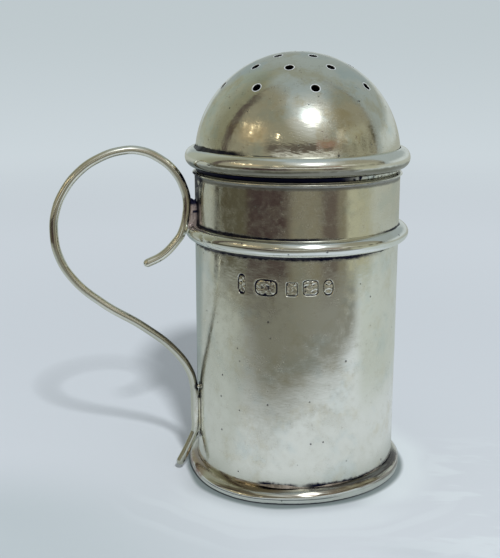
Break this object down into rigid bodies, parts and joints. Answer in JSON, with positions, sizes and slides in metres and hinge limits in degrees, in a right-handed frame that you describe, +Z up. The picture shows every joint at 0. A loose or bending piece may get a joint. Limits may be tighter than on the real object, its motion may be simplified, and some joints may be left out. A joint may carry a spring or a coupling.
{
  "type": "pepper shaker",
  "caption": "Small cylindrical silver pepper shaker with a scrolled wire handle, wire bands and a pull-off pierced dome cap.",
  "frame": {"origin": "centre of the underside of the base, on the axis of the tube", "axes": "+Z up along the tube and the cap's pull, -X towards the handle, which lies in the XZ plane, -Y towards the struck marks' side"},
  "size_m": [0.0647, 0.0406, 0.0771],
  "materials": {
    "silver_sheet": "gloss",
    "silver_wire": "gloss",
    "silver_dome": "gloss",
    "silver_inside": "satin",
    "solder": "satin"
  },
  "bodies": {
    "pot": {"body_tube": "silver_sheet", "base_plate": "silver_sheet", "foot_ring": "silver_wire", "girdle_ring": "silver_wire", "handle_scroll": "silver_wire", "upper_handle_solder": "solder", "lower_handle_solder": "solder"},
    "cap": {"cap_dome": "silver_dome", "cap_ring": "silver_wire", "cap_sleeve": "silver_inside"}
  },
  "joints": [
    {"name": "cap_pull", "type": "slide", "parent": "pot", "child": "cap", "axis": [0, 0, 1], "range_m": [0, 0.012]}
  ]
}
